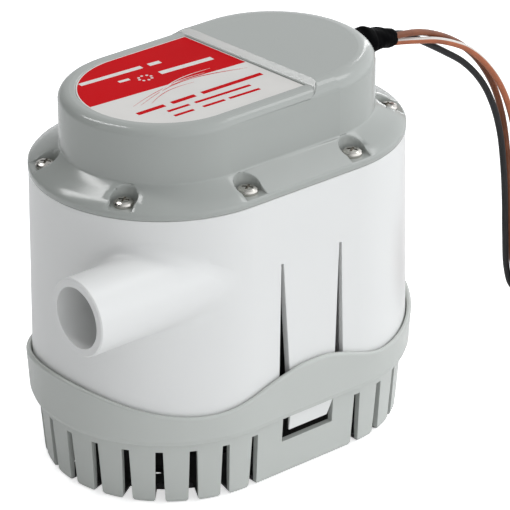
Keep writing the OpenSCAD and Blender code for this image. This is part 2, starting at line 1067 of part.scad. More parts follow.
strainer_base();
housing();
latch_front();
latch_back();
lid();
lid_gasket();
label();
lid_screws();
cable_boot();
volute();
inlet_plate();
chamber_screws();
riser_seal();
impeller();
impeller_nut();
shaft();
shaft_seal();
seal_carrier();
bearing_lower();
bearing_upper();
motor_end_plate();
motor_can();
motor_magnets();
armature_stack();
windings();
commutator();
brush_plate();
brushes();
brush_springs();
float_well();
float_guard();
float();
float_magnet();
reed_switch();
control_board();
board_screws();
relay();
capacitor();
motor_leads();
supply_leads();
wire_black();
wire_brown();
wire_stripe();
coil_black();
coil_brown();
coil_stripe();
wire_tie();
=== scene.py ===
"""Looks of an automatic bilge pump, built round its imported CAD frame.

Lengths in this file are millimetres, turned to metres by MM where they reach Blender. +Z is up,
X runs along the body, and the outlet spout is on the -Y side and points to -X.
"""

import json
import math

import bmesh
import bpy
from mathutils import Matrix, Vector

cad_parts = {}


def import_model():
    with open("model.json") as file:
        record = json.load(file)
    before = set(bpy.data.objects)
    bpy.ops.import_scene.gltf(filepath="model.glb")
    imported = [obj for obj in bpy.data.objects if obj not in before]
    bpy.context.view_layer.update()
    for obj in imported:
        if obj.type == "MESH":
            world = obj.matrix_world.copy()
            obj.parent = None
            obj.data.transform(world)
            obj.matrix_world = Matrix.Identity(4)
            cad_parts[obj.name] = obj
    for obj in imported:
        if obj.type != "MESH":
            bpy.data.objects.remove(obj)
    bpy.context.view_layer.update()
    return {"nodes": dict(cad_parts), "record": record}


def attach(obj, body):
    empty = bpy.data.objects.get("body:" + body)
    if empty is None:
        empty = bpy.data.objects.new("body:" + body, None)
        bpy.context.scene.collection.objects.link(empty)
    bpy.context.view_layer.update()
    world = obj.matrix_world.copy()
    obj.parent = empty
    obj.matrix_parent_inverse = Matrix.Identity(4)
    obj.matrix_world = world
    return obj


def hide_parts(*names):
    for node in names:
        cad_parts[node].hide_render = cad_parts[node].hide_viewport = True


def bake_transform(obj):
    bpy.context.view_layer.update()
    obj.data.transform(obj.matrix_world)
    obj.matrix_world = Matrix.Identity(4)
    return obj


MM = 0.001

# ---- Body shape, as in the CAD source ----
HALF_LEN = 25.0
WALL_R_LOW = 49.75
WALL_R_TOP = 48.8
WALL_Z_LOW = 40.0
WALL_Z_TOP = 114.0
SPOUT_R = 14.3
SPOUT_Y = -34.0
SPOUT_Z = 87.0
SPOUT_DRAFT = 0.3
SPOUT_DRAFT_X = -72.0
SPOUT_DRAFT_RUN = 38
LABEL_R = 31.0
LABEL_EDGE = 11.5
LABEL_TURN = 4.0
LABEL_TOP = 143.4
COLLAR_IN = 50.1
WAVE_MID = 46.2
WAVE_END = 45.8
# Collar's wavy edge on each side of the latch: low height, X where the low starts, angle in
# degrees where the rise towards the end starts, X to which the crest in the middle stays flat
WAVE_LEFT = (37.3, 43.0, 69.0, 0.0)
WAVE_RIGHT = (38.2, 38.0, 75.0, 4.0)
LIP_H = 1.4
LATCH_X = 2.2
HINGE_Z = 87.6
TONGUE_TOP = 13.0
TONGUE_TAPER = 3.1 / 59.7
COLLAR_LOW = (27.8, 51.2)
COLLAR_HIGH = (46.8, 52.3)

# ---- Leads ----
WIRE_D = 2.6
COIL_AT = (172.0, -22.0)
COIL_RADII = (24.9, 22.25, 19.6)
COIL_LAYER = 2.7
COIL_HEIGHT = 5.4
COIL_STEP_SHARE = 1 / 6
COIL_TURNS = 5.32
COIL_POINTS_A_TURN = 30
ROUTES = {
    "brown": [
        (81.5, -1.2, 133.7), (88, -1.2, 133.1), (95, -0.9, 131.8), (102.5, -0.4, 129.2),
        (112, 0.4, 124.4), (121, 1.2, 118.2), (130, 1.6, 109.2), (137.5, 1.6, 97.5),
        (142.5, 1.4, 84), (145.5, 1.2, 69), (147, 0.8, 53), (147.8, 0.5, 37), (149, 0.2, 22),
        (151.5, 0, 12.5), (158.2, 0, 8.1),
    ],
    "stripe": [
        (81.5, -0.3, 131.1), (88, -0.6, 130), (95, -1.5, 128.7), (103, -2.4, 126.9),
        (112, -2.6, 123.2), (120.5, -2.6, 118.2), (129.5, -2.6, 109.8), (137.5, -2.8, 98.5),
        (143.5, -2.6, 85), (147.3, -2.4, 70), (149.6, -2, 55), (150.8, -1.4, 40),
        (151.8, -0.7, 27), (153.6, -0.2, 18), (158.2, 0, 13.5),
    ],
    "black": [
        (81.5, 1.5, 133.2), (88, 2.2, 132.2), (94, 2.6, 129.8), (101, 2.6, 125.4),
        (111, 2, 118.9), (121.5, 1.2, 111.3), (130, 0.2, 101.5), (136, -0.3, 90),
        (140, -0.5, 77), (142.3, -0.5, 63), (143.8, -0.4, 48), (144.8, -0.2, 32),
        (146.2, 0, 17), (149.8, 0, 7), (158.2, 0, 2.7),
    ],
}
COIL_LEVEL = {"black": 0, "brown": 1, "stripe": 2}

# Sleeve over the leads: place along X, height, half width and half height of each station
BOOT = [
    (57.5, 134.4, 4.4, 4.4), (61.0, 134.5, 4.4, 4.4), (63.2, 134.7, 5.0, 5.2),
    (66.0, 134.9, 5.1, 5.3), (69.0, 135.0, 5.0, 5.0), (71.6, 134.8, 5.1, 4.7),
    (73.2, 134.5, 4.6, 4.5), (75.8, 134.2, 4.2, 4.3), (78.0, 133.9, 3.95, 4.1),
    (80.0, 133.5, 3.75, 3.9), (82.0, 133.1, 3.5, 3.7), (83.4, 132.9, 3.1, 3.3),
    (84.2, 132.8, 2.5, 2.6),
]

# ---- Surfaces ----
# Colour of the painted shade in recesses: a dark colour painted where shade falls
PAINTED_SHADE = (0.05, 0.05, 0.05)
# The strainer has dark painted shade inside a racetrack with round ends of this radius
SKIRT_IN = 44.6
# The housing has dark painted shade inside a box that reaches this far from the origin along X, Y
# and Z
POCKET_ENDS = (17.5, 46.6, 92.0)
# Rounds on moulded edges, by CAD node
EDGE_ROUNDS = {"lid": 0.3, "latch_front": 0.25, "latch_back": 0.25}

# ---- Label print ----
LABEL_WHITE = (0.74, 0.725, 0.70)
LABEL_IOR = 1.07
LABEL_RED = (0.58, 0.005, 0.009)
# Width of the pale rim round the red field, along its curve and at its straight end
RIM_ROUND = 0.45
RIM_END = 0.35
# Two points of the line between the red field and the white one
RED_EDGE = ((-54.4, 2.7), (12.7, -1.8))
# Bars in place of lines of print: middle of the left end, middle of the right end, width
RED_BARS = [
    ((-46.5, -12.6), (-34.5, -12.75), 2.2), ((-31.5, -12.8), (-21, -12.95), 2.2),
    ((-18, -13.0), (9, -13.4), 2.2), ((-37, -17.6), (-27.5, -17.8), 1.5),
    ((-25, -17.85), (-0.5, -18.6), 1.5), ((-37.5, -22), (-29, -22.25), 1.5),
    ((-25, -22.4), (-15.5, -22.7), 1.5), ((-13.5, -22.75), (0, -23.2), 1.5),
]
WHITE_BARS = [
    ((-46.6, 20.5), (-20, 19), 2.3), ((-17, 18.8), (-12, 18.4), 2.3),
    ((-34.5, 13.6), (-30, 13.2), 1.6), ((-18.3, 10.5), (4.3, 8.9), 2.6),
]
# Swept lines across the colour border: middle of each end, rise at the middle, width, in red or not
SWEEPS = [
    ((-43.5, -6.5), (6, -5.4), 5.6, 0.35, True), ((-41, -7.5), (8.5, -6.0), 6.2, 0.35, True),
    ((-37, -8.6), (-14, -3.6), 2.4, 0.3, True), ((-35, -6.6), (-6, 0.4), 3.2, 0.45, False),
    ((-30, -3.0), (-2, 2.2), 2.4, 0.45, False),
]
# Ring of dots: middle, half sizes along X and Y, number of dots and radius of a dot
RING_AT = (-25.0, 10.4)
RING_SIZE = (2.6, 2.1)
RING_DOTS = 8
DOT_R = 0.55

# ---- View ----
FRAME_PX = 510
SENSOR = 36.0
AZIMUTH = math.radians(-38.869)
ELEVATION = math.radians(26.881)
ROLL = math.radians(-0.593)
TARGET = Vector((0, 0, 61.45))
DISTANCE = 1269.5
FOCAL_PX = 3445.9
PRINCIPAL_PX = (220.4, 273.0)

# ---- Light ----
BRIGHT_SIDE = Vector((0.67, -0.66, -0.36))
SKY_DIM = -0.06
SKY_BRIGHT = 1.87
# Half side of the floor and its drop below the origin, in metres
FLOOR_REACH = 6.0
FLOOR_GAP = 0.0002
FLOOR_ALBEDO = 0.93
FLOOR_GLOW = 0.62
# Point that all lamps face, in metres
LAMPS_FACE = (0, 0, 0.07)
# Each lamp's place, width and height in metres, and its power in watts
LAMPS = {
    "key": ((0.8, -0.25, 1.05), 0.4, 0.4, 1.5),
    "left_strip": ((-1.0, 0.35, 0.55), 0.06, 0.9, 0.25),
    "top_strip": ((-0.28, 0.62, 1.1), 0.16, 0.6, 2.9),
    "right_strip": ((0.9, 0.55, 0.4), 0.05, 0.7, 0.5),
}


# ---- Small helpers ----


def wall_radius(z):
    """Radius of the housing's round ends at height z."""
    t = min(max((z - WALL_Z_LOW) / (WALL_Z_TOP - WALL_Z_LOW), 0.0), 1.0)
    return WALL_R_LOW + (WALL_R_TOP - WALL_R_LOW) * t


def make_object(name, points, faces, material, body, smooth=True):
    """A mesh object from points in millimetres, riding on a CAD body."""
    mesh = bpy.data.meshes.new(name)
    mesh.from_pydata([Vector(p) * MM for p in points], [], faces)
    mesh.validate()
    for polygon in mesh.polygons:
        polygon.use_smooth = smooth
    mesh.materials.append(material)
    obj = bpy.data.objects.new(name, mesh)
    bpy.context.scene.collection.objects.link(obj)
    fix = bmesh.new()
    fix.from_mesh(mesh)
    bmesh.ops.recalc_face_normals(fix, faces=fix.faces)
    for edge in fix.edges:
        edge.smooth = edge.calc_face_angle(0.0) < math.radians(40)
    fix.to_mesh(mesh)
    fix.free()
    if body:
        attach(obj, body)
    return obj


def ring_faces(rings, sides):
    """Quads between rings of points one after another, with a flat end at each side."""
    faces = []
    for i in range(rings - 1):
        near, far = sides * i, sides * (i + 1)
        for k in range(sides):
            after = (k + 1) % sides
            faces.append((near + k, near + after, far + after, far + k))
    faces.append(tuple(range(sides))[::-1])
    faces.append(tuple(range(sides * (rings - 1), sides * rings)))
    return faces


def catmull(points, step):
    """Points about `step` apart on the smooth curve through `points`."""
    points = [Vector(p) for p in points]
    padded = [2 * points[0] - points[1]] + points + [2 * points[-1] - points[-2]]
    out = []
    for i in range(1, len(padded) - 2):
        p0, p1, p2, p3 = padded[i - 1 : i + 3]
        count = max(2, round((p2 - p1).length / step))
        for k in range(count):
            t = k / count
            out.append(
                0.5
                * (
                    2 * p1
                    + (p2 - p0) * t
                    + (2 * p0 - 5 * p1 + 4 * p2 - p3) * t * t
                    + (3 * p1 - p0 - 3 * p2 + p3) * t ** 3
                )
            )
    out.append(points[-1])
    return out


# ---- Materials ----


def empty_material(name):
    material = bpy.data.materials.new(name)
    material.use_nodes = True
    nodes = material.node_tree.nodes
    return material, nodes, material.node_tree.links, nodes["Principled BSDF"]


def noise_node(nodes, links, coords, scale, detail=2.0, roughness=0.5):
    node = nodes.new("ShaderNodeTexNoise")
    node.inputs["Scale"].default_value = scale
    node.inputs["Detail"].default_value = detail
    node.inputs["Roughness"].default_value = roughness
    links.new(coords, node.inputs["Vector"])
    return node.outputs["Fac"]


def ramp_node(nodes, links, factor, low, high, start=0.3, end=0.7):
    """Colour that runs from low to high as the factor goes from start to end."""
    node = nodes.new("ShaderNodeValToRGB")
    node.color_ramp.elements[0].position = start
    node.color_ramp.elements[0].color = (*low, 1)
    node.color_ramp.elements[1].position = end
    node.color_ramp.elements[1].color = (*high, 1)
    links.new(factor, node.inputs["Fac"])
    return node.outputs["Color"]


def range_node(nodes, links, factor, low, high):
    node = nodes.new("ShaderNodeMapRange")
    node.inputs["To Min"].default_value = low
    node.inputs["To Max"].default_value = high
    links.new(factor, node.inputs["Value"])
    return node.outputs["Result"]


def bump_node(nodes, links, height, strength, depth, normal=None):
    node = nodes.new("ShaderNodeBump")
    node.inputs["Strength"].default_value = strength
    node.inputs["Distance"].default_value = depth
    links.new(height, node.inputs["Height"])
    if normal is not None:
        links.new(normal, node.inputs["Normal"])
    return node.outputs["Normal"]


def tinted(colour, share):
    return tuple(min(1.0, c * share) for c in colour)


def plastic(name, colour, roughness, grain=0.25, grain_size=0.35, variation=0.03, wear=0.14):
    """Moulded plastic: faint cloudiness in the colour, fine spark-eroded grain, uneven gloss."""
    material, nodes, links, shader = empty_material(name)
    coords = nodes.new("ShaderNodeTexCoord").outputs["Object"]
    cloud = noise_node(nodes, links, coords, 28, 3)
    dark, pale = tinted(colour, 1 - variation), tinted(colour, 1 + variation)
    links.new(
        ramp_node(nodes, links, cloud, dark, pale, 0.1, 0.9), shader.inputs["Base Color"]
    )
    smudge = noise_node(nodes, links, coords, 90, 4)
    links.new(
        range_node(nodes, links, smudge, roughness * (1 - wear), roughness * (1 + wear)),
        shader.inputs["Roughness"],
    )
    fine = noise_node(nodes, links, coords, 1 / (grain_size * MM), 2)
    wide = noise_node(nodes, links, coords, 60, 1)
    soft = bump_node(nodes, links, wide, 0.12, 0.0004)
    links.new(bump_node(nodes, links, fine, grain, 0.00004, soft), shader.inputs["Normal"])
    shader.inputs["IOR"].default_value = 1.49
    return material


def paint_shade(material, inside):
    """Dark painted shade where the mask is 1."""
    nodes, links = material.node_tree.nodes, material.node_tree.links
    shader = nodes["Principled BSDF"]
    mix = nodes.new("ShaderNodeMix")
    mix.data_type = "RGBA"
    links.new(inside, mix.inputs["Factor"])
    links.new(shader.inputs["Base Color"].links[0].from_socket, mix.inputs["A"])
    # The dark colour painted here stands in for shade in the recess, not for dirt
    mix.inputs["B"].default_value = PAINTED_SHADE + (1,)
    links.new(mix.outputs["Result"], shader.inputs["Base Color"])
    return material


def split_place(nodes, links):
    split = nodes.new("ShaderNodeSeparateXYZ")
    links.new(nodes.new("ShaderNodeTexCoord").outputs["Object"], split.inputs["Vector"])
    return split


def housing_plastic(name, colour, *grain, **more):
    """The housing's plastic, with dark painted shade inside the pockets behind the two latches."""
    material = plastic(name, colour, *grain, **more)
    nodes, links = material.node_tree.nodes, material.node_tree.links
    split = split_place(nodes, links)
    inside = None
    for axis, limit in zip("XYZ", POCKET_ENDS):
        off = math_node(nodes, links, "ABSOLUTE", split.outputs[axis])
        test = math_node(nodes, links, "LESS_THAN", off, limit * MM)
        inside = test if inside is None else math_node(nodes, links, "MULTIPLY", inside, test)
    # Painted shade: the pocket box is coloured dark in place of the shade there
    return paint_shade(material, inside)


def strainer_plastic(name, colour, *grain, **more):
    """The strainer's plastic, with dark painted shade on the inside of its slotted skirt."""
    material = plastic(name, colour, *grain, **more)
    nodes, links = material.node_tree.nodes, material.node_tree.links
    split = split_place(nodes, links)
    across = math_node(nodes, links, "ABSOLUTE", split.outputs["X"])
    beyond = math_node(nodes, links, "SUBTRACT", across, HALF_LEN * MM)
    past = math_node(nodes, links, "MAXIMUM", beyond, 0.0)
    reach = math_node(
        nodes,
        links,
        "ADD",
        math_node(nodes, links, "MULTIPLY", past, past),
        math_node(nodes, links, "MULTIPLY", split.outputs["Y"], split.outputs["Y"]),
    )
    # Painted shade: the inside of the skirt is coloured dark in place of the shade there
    return paint_shade(material, math_node(nodes, links, "LESS_THAN", reach, (SKIRT_IN * MM) ** 2))


def metal(name, colour, roughness, stretch=(1, 1, 1), scratch=0.3):
    """Bare or plated metal with drawn-out fine scratches and uneven polish."""
    material, nodes, links, shader = empty_material(name)
    coords = nodes.new("ShaderNodeTexCoord").outputs["Object"]
    mapping = nodes.new("ShaderNodeMapping")
    mapping.inputs["Scale"].default_value = stretch
    links.new(coords, mapping.inputs["Vector"])
    streak = noise_node(nodes, links, mapping.outputs["Vector"], 900, 4)
    cloud = noise_node(nodes, links, coords, 140, 3)
    links.new(
        ramp_node(nodes, links, cloud, tinted(colour, 0.82), tinted(colour, 1.1)),
        shader.inputs["Base Color"],
    )
    links.new(
        range_node(nodes, links, streak, roughness * 0.7, roughness * 1.3),
        shader.inputs["Roughness"],
    )
    links.new(bump_node(nodes, links, streak, scratch, 0.00002), shader.inputs["Normal"])
    shader.inputs["Metallic"].default_value = 1.0
    return material


def rubber(name, colour, roughness, wrinkle=0.2, size=1.2, gloss=0.35):
    """Black or coloured soft sleeve, with shallow wrinkles and dusty patches."""
    material, nodes, links, shader = empty_material(name)
    coords = nodes.new("ShaderNodeTexCoord").outputs["Object"]
    dust = noise_node(nodes, links, coords, 220, 4)
    links.new(
        ramp_node(nodes, links, dust, tinted(colour, 0.85), tinted(colour, 1.35), 0.35, 0.8),
        shader.inputs["Base Color"],
    )
    links.new(
        range_node(nodes, links, dust, roughness * 0.85, roughness * 1.15),
        shader.inputs["Roughness"],
    )
    fold = noise_node(nodes, links, coords, 1 / (size * MM), 3)
    links.new(bump_node(nodes, links, fold, wrinkle, 0.00012), shader.inputs["Normal"])
    shader.inputs["Specular IOR Level"].default_value = gloss
    return material


def wound(name, colour, roughness, turns_per_m, metallic):
    """Fine parallel turns or sheets, as in a winding or a stack of laminations."""
    material, nodes, links, shader = empty_material(name)
    coords = nodes.new("ShaderNodeTexCoord").outputs["Object"]
    wave = nodes.new("ShaderNodeTexWave")
    wave.bands_direction = "Z"
    wave.inputs["Scale"].default_value = turns_per_m / math.tau
    wave.inputs["Distortion"].default_value = 0.6
    links.new(coords, wave.inputs["Vector"])
    links.new(
        ramp_node(nodes, links, wave.outputs["Fac"], tinted(colour, 0.45), colour, 0.05, 0.5),
        shader.inputs["Base Color"],
    )
    cloud = noise_node(nodes, links, coords, 200, 3)
    links.new(
        range_node(nodes, links, cloud, roughness * 0.8, roughness * 1.2),
        shader.inputs["Roughness"],
    )
    links.new(bump_node(nodes, links, wave.outputs["Fac"], 0.6, 0.0001), shader.inputs["Normal"])
    shader.inputs["Metallic"].default_value = metallic
    return material


def glass(name, colour):
    material, nodes, links, shader = empty_material(name)
    coords = nodes.new("ShaderNodeTexCoord").outputs["Object"]
    haze = noise_node(nodes, links, coords, 300, 3)
    links.new(range_node(nodes, links, haze, 0.02, 0.12), shader.inputs["Roughness"])
    links.new(
        ramp_node(nodes, links, haze, tinted(colour, 0.92), colour), shader.inputs["Base Color"]
    )
    shader.inputs["Transmission Weight"].default_value = 0.9
    shader.inputs["IOR"].default_value = 1.47
    return material


def math_node(nodes, links, operation, first, second=None):
    node = nodes.new("ShaderNodeMath")
    node.operation = operation
    for socket, value in zip(node.inputs, (first, second)):
        if value is None:
            continue
        if isinstance(value, (int, float)):
            socket.default_value = value
        else:
            links.new(value, socket)
    return node.outputs["Value"]


def label_film(name):
    """Printed film: red half and white half, with a pale rim and little gloss."""
    material, nodes, links, shader = empty_material(name)
    coords = nodes.new("ShaderNodeTexCoord").outputs["Object"]
    split = nodes.new("ShaderNodeSeparateXYZ")
    links.new(coords, split.inputs["Vector"])
    x, y = split.outputs["X"], split.outputs["Y"]
    (left, left_y), (right, right_y) = RED_EDGE
    slope = (right_y - left_y) / (right - left)
    run = math_node(nodes, links, "SUBTRACT", x, left * MM)
    height = math_node(nodes, links, "MULTIPLY", run, slope)
    border = math_node(nodes, links, "ADD", height, left_y * MM)
    above = math_node(nodes, links, "SUBTRACT", y, border)
    red_side = math_node(nodes, links, "GREATER_THAN", above, 0.0)
    from_end = math_node(nodes, links, "ADD", x, HALF_LEN * MM)
    past_end = math_node(nodes, links, "MINIMUM", from_end, 0.0)
    squares = math_node(
        nodes,
        links,
        "ADD",
        math_node(nodes, links, "MULTIPLY", past_end, past_end),
        math_node(nodes, links, "MULTIPLY", y, y),
    )
    from_axis = math_node(nodes, links, "SQRT", squares)
    inside = math_node(nodes, links, "LESS_THAN", from_axis, (LABEL_R - RIM_ROUND) * MM)
    turn = math.radians(LABEL_TURN)
    along = math_node(
        nodes,
        links,
        "ADD",
        math_node(nodes, links, "MULTIPLY", x, math.cos(turn)),
        math_node(nodes, links, "MULTIPLY", y, math.sin(turn)),
    )
    short_of_edge = math_node(nodes, links, "LESS_THAN", along, (LABEL_EDGE - RIM_END) * MM)
    in_rim = math_node(nodes, links, "MULTIPLY", inside, short_of_edge)
    red = math_node(nodes, links, "MULTIPLY", red_side, in_rim)
    mix = nodes.new("ShaderNodeMix")
    mix.data_type = "RGBA"
    links.new(red, mix.inputs["Factor"])
    mix.inputs["A"].default_value = LABEL_WHITE + (1,)
    mix.inputs["B"].default_value = LABEL_RED + (1,)
    ink = noise_node(nodes, links, coords, 60, 3)
    shade = nodes.new("ShaderNodeMix")
    shade.data_type = "RGBA"
    shade.blend_type = "MULTIPLY"
    shade.inputs["Factor"].default_value = 1.0
    links.new(mix.outputs["Result"], shade.inputs["A"])
    links.new(ramp_node(nodes, links, ink, (0.94, 0.94, 0.94), (1, 1, 1)), shade.inputs["B"])
    links.new(shade.outputs["Result"], shader.inputs["Base Color"])
    smudge = noise_node(nodes, links, coords, 120, 4)
    links.new(range_node(nodes, links, smudge, 0.3, 0.45), shader.inputs["Roughness"])
    shader.inputs["IOR"].default_value = LABEL_IOR
    return material


def print_ink(name, colour):
    """Flat printed ink, a little uneven."""
    material, nodes, links, shader = empty_material(name)
    coords = nodes.new("ShaderNodeTexCoord").outputs["Object"]
    speck = noise_node(nodes, links, coords, 900, 2)
    links.new(
        ramp_node(nodes, links, speck, tinted(colour, 0.9), tinted(colour, 1.05)),
        shader.inputs["Base Color"],
    )
    shader.inputs["Roughness"].default_value = 0.4
    shader.inputs["IOR"].default_value = LABEL_IOR
    return material


def striped_wire(name, colour, stripe):
    """Wire insulation with one printed line along it, from the mesh's "around" attribute."""
    material, nodes, links, shader = empty_material(name)
    coords = nodes.new("ShaderNodeTexCoord").outputs["Object"]
    around = nodes.new("ShaderNodeAttribute")
    around.attribute_name = "around"
    edge = noise_node(nodes, links, coords, 700, 2)
    ragged = math_node(
        nodes, links, "ADD", around.outputs["Fac"], range_node(nodes, links, edge, -0.02, 0.02)
    )
    mask = ramp_node(nodes, links, ragged, (0, 0, 0), (1, 1, 1), 0.80, 0.82)
    mix = nodes.new("ShaderNodeMix")
    mix.data_type = "RGBA"
    links.new(mask, mix.inputs["Factor"])
    dust = noise_node(nodes, links, coords, 180, 3)
    links.new(
        ramp_node(nodes, links, dust, tinted(colour, 0.86), tinted(colour, 1.14)),
        mix.inputs["A"],
    )
    mix.inputs["B"].default_value = (*stripe, 1)
    links.new(mix.outputs["Result"], shader.inputs["Base Color"])
    links.new(range_node(nodes, links, dust, 0.36, 0.5), shader.inputs["Roughness"])
    fine = noise_node(nodes, links, coords, 2500, 2)
    links.new(bump_node(nodes, links, fine, 0.15, 0.00003), shader.inputs["Normal"])
    return material


def make_materials():
    """One material for each material slot of the record."""
    return {
        "base_grey": strainer_plastic(
            "base_grey", (0.53, 0.55, 0.525), 0.27, 0.10, variation=0.012, wear=0.02
        ),
        "housing_white": housing_plastic(
            "housing_white", (0.79, 0.795, 0.785), 0.30, 0.10, variation=0.01, wear=0.05
        ),
        "lid_grey": plastic(
            "lid_grey", (0.395, 0.414, 0.395), 0.17, 0.05, variation=0.012, wear=0.05
        ),
        "label_red": label_film("label_film"),
        "stainless": metal("stainless", (0.62, 0.60, 0.56), 0.24, (1, 1, 0.3)),
        "black_rubber": rubber("black_rubber", (0.0015, 0.0015, 0.0018), 0.5, gloss=0.02),
        "black_plastic": plastic("black_plastic", (0.02, 0.02, 0.02), 0.45),
        "chamber_plastic": plastic("chamber_plastic", (0.62, 0.62, 0.60), 0.45),
        "impeller_blue": plastic("impeller_blue", (0.03, 0.08, 0.32), 0.35),
        "brass": metal("brass", (0.72, 0.55, 0.25), 0.28),
        "bronze": metal("bronze", (0.55, 0.40, 0.22), 0.5),
        "motor_steel": metal("motor_steel", (0.55, 0.56, 0.57), 0.38, (1, 1, 0.15)),
        "ferrite": plastic("ferrite", (0.045, 0.045, 0.05), 0.6, 0.5),
        "lamination": wound("lamination", (0.4, 0.41, 0.42), 0.4, 2000, 1.0),
        "copper": wound("copper", (0.62, 0.28, 0.12), 0.3, 2500, 1.0),
        "phenolic": plastic("phenolic", (0.20, 0.10, 0.05), 0.5, 0.4, variation=0.12),
        "carbon": plastic("carbon", (0.03, 0.03, 0.03), 0.55, 0.5),
        "float_orange": plastic("float_orange", (0.85, 0.30, 0.05), 0.6, 0.6, 0.8, variation=0.06),
        "reed_glass": glass("reed_glass", (0.7, 0.85, 0.78)),
        "board_green": plastic("board_green", (0.02, 0.16, 0.06), 0.3, 0.2, variation=0.1),
        "relay_blue": plastic("relay_blue", (0.03, 0.10, 0.38), 0.35),
        "lead_red": rubber("lead_red", (0.45, 0.02, 0.02), 0.45, 0.1),
        "wire_black": rubber("wire_black", (0.012, 0.012, 0.013), 0.42, 0.1),
        "wire_brown": rubber("wire_brown", (0.20, 0.065, 0.028), 0.42, 0.1),
        "wire_orange": striped_wire("wire_orange", (0.40, 0.115, 0.045), (0.70, 0.66, 0.62)),
    }


# ---- View, light and floor ----


def make_camera():
    back = Vector(
        (
            math.sin(AZIMUTH) * math.cos(ELEVATION),
            -math.cos(AZIMUTH) * math.cos(ELEVATION),
            math.sin(ELEVATION),
        )
    )
    level = Vector((math.cos(AZIMUTH), math.sin(AZIMUTH), 0))
    above = back.cross(level)
    right = math.cos(ROLL) * level + math.sin(ROLL) * above
    up = back.cross(right)
    data = bpy.data.cameras.new("camera")
    data.sensor_width = SENSOR
    data.lens = SENSOR * FOCAL_PX / FRAME_PX
    data.shift_x = (FRAME_PX / 2 - PRINCIPAL_PX[0]) / FRAME_PX
    data.shift_y = (PRINCIPAL_PX[1] - FRAME_PX / 2) / FRAME_PX
    data.clip_start = 0.05
    data.clip_end = 20
    camera = bpy.data.objects.new("camera", data)
    turn = Matrix((right, up, back)).transposed()
    camera.matrix_world = Matrix.Translation((TARGET + DISTANCE * back) * MM) @ turn.to_4x4()
    bpy.context.scene.collection.objects.link(camera)
    bpy.context.scene.camera = camera


def area_light(name, place, width, height, power):
    """A rectangular lamp that faces the middle of the pump."""
    data = bpy.data.lights.new(name, "AREA")
    data.shape = "RECTANGLE"
    data.size = width
    data.size_y = height
    data.energy = power
    light = bpy.data.objects.new(name, data)
    light.location = place
    light.rotation_mode = "QUATERNION"
    light.rotation_quaternion = (Vector(LAMPS_FACE) - Vector(place)).to_track_quat("-Z", "Y")
    bpy.context.scene.collection.objects.link(light)


def make_stage():
    scene = bpy.context.scene
    scene.view_settings.view_transform = "Standard"
    world = bpy.data.worlds.new("studio")
    scene.world = world
    world.use_nodes = True
    nodes, links = world.node_tree.nodes, world.node_tree.links
    background = nodes["Background"]
    background.inputs["Color"].default_value = (0.965, 0.98, 1.0, 1)
    toward = nodes.new("ShaderNodeVectorMath")
    toward.operation = "DOT_PRODUCT"
    links.new(nodes.new("ShaderNodeTexCoord").outputs["Generated"], toward.inputs[0])
    toward.inputs[1].default_value = BRIGHT_SIDE.normalized()
    slope = nodes.new("ShaderNodeMapRange")
    slope.inputs["From Min"].default_value = -1.0
    slope.inputs["To Min"].default_value = SKY_DIM
    slope.inputs["To Max"].default_value = SKY_BRIGHT
    links.new(toward.outputs["Value"], slope.inputs["Value"])
    bright = math_node(nodes, links, "MAXIMUM", slope.outputs["Result"], 0.0)
    links.new(bright, background.inputs["Strength"])
    for name, lamp in LAMPS.items():
        area_light(name, *lamp)
    floor_material, nodes, links, shader = empty_material("floor")
    coords = nodes.new("ShaderNodeTexCoord").outputs["Object"]
    tone = noise_node(nodes, links, coords, 4, 2)
    links.new(
        ramp_node(nodes, links, tone, (FLOOR_ALBEDO,) * 3, (FLOOR_ALBEDO + 0.02,) * 3),
        shader.inputs["Base Color"],
    )
    shader.inputs["Roughness"].default_value = 0.7
    shader.inputs["Emission Color"].default_value = (1, 1, 1, 1)
    seen = nodes.new("ShaderNodeLightPath").outputs["Is Camera Ray"]
    glow = math_node(nodes, links, "MULTIPLY", seen, FLOOR_GLOW)
    links.new(glow, shader.inputs["Emission Strength"])
    shader.inputs["Specular IOR Level"].default_value = 0.0
    mesh = bpy.data.meshes.new("floor")
    far = FLOOR_REACH
    mesh.from_pydata(
        [(-far, -far, 0), (far, -far, 0), (far, far, 0), (-far, far, 0)],
        [],
        [(0, 1, 2, 3)],
    )
    mesh.materials.append(floor_material)
    floor = bpy.data.objects.new("floor", mesh)
    floor.location.z = -FLOOR_GAP
    bpy.context.scene.collection.objects.link(floor)


# ---- Leads ----


def coil_path(level):
    """Turns of one lead's coil: three rings inwards on its lower layer, up, and outwards again."""
    base = level * COIL_HEIGHT + COIL_HEIGHT / 2
    low, high = base - COIL_LAYER / 2, base + COIL_LAYER / 2
    rings = [(r, low) for r in COIL_RADII] + [(r, high) for r in COIL_RADII[::-1]]
    points = []
    for i in range(round(COIL_TURNS * COIL_POINTS_A_TURN) + 1):
        turn = i / COIL_POINTS_A_TURN
        now = min(int(turn), len(rings) - 1)
        after = min(now + 1, len(rings) - 1)
        t = min(max((turn - now - 1 + COIL_STEP_SHARE) / COIL_STEP_SHARE, 0.0), 1.0)
        t = t * t * (3 - 2 * t)
        radius = rings[now][0] + (rings[after][0] - rings[now][0]) * t
        height = rings[now][1] + (rings[after][1] - rings[now][1]) * t
        angle = math.radians(90) - 2 * math.pi * turn
        points.append(
            (
                COIL_AT[0] + radius * math.cos(angle),
                COIL_AT[1] + radius * math.sin(angle),
                height,
            )
        )
    return points


def lead_points(name):
    route = [Vector(p) for p in ROUTES[name]]
    turns = [Vector(p) for p in coil_path(COIL_LEVEL[name])]
    middle = (route[-1] + turns[0]) / 2
    return catmull(route, 1.6)[:-1] + catmull([route[-1], middle] + turns, 1.9)


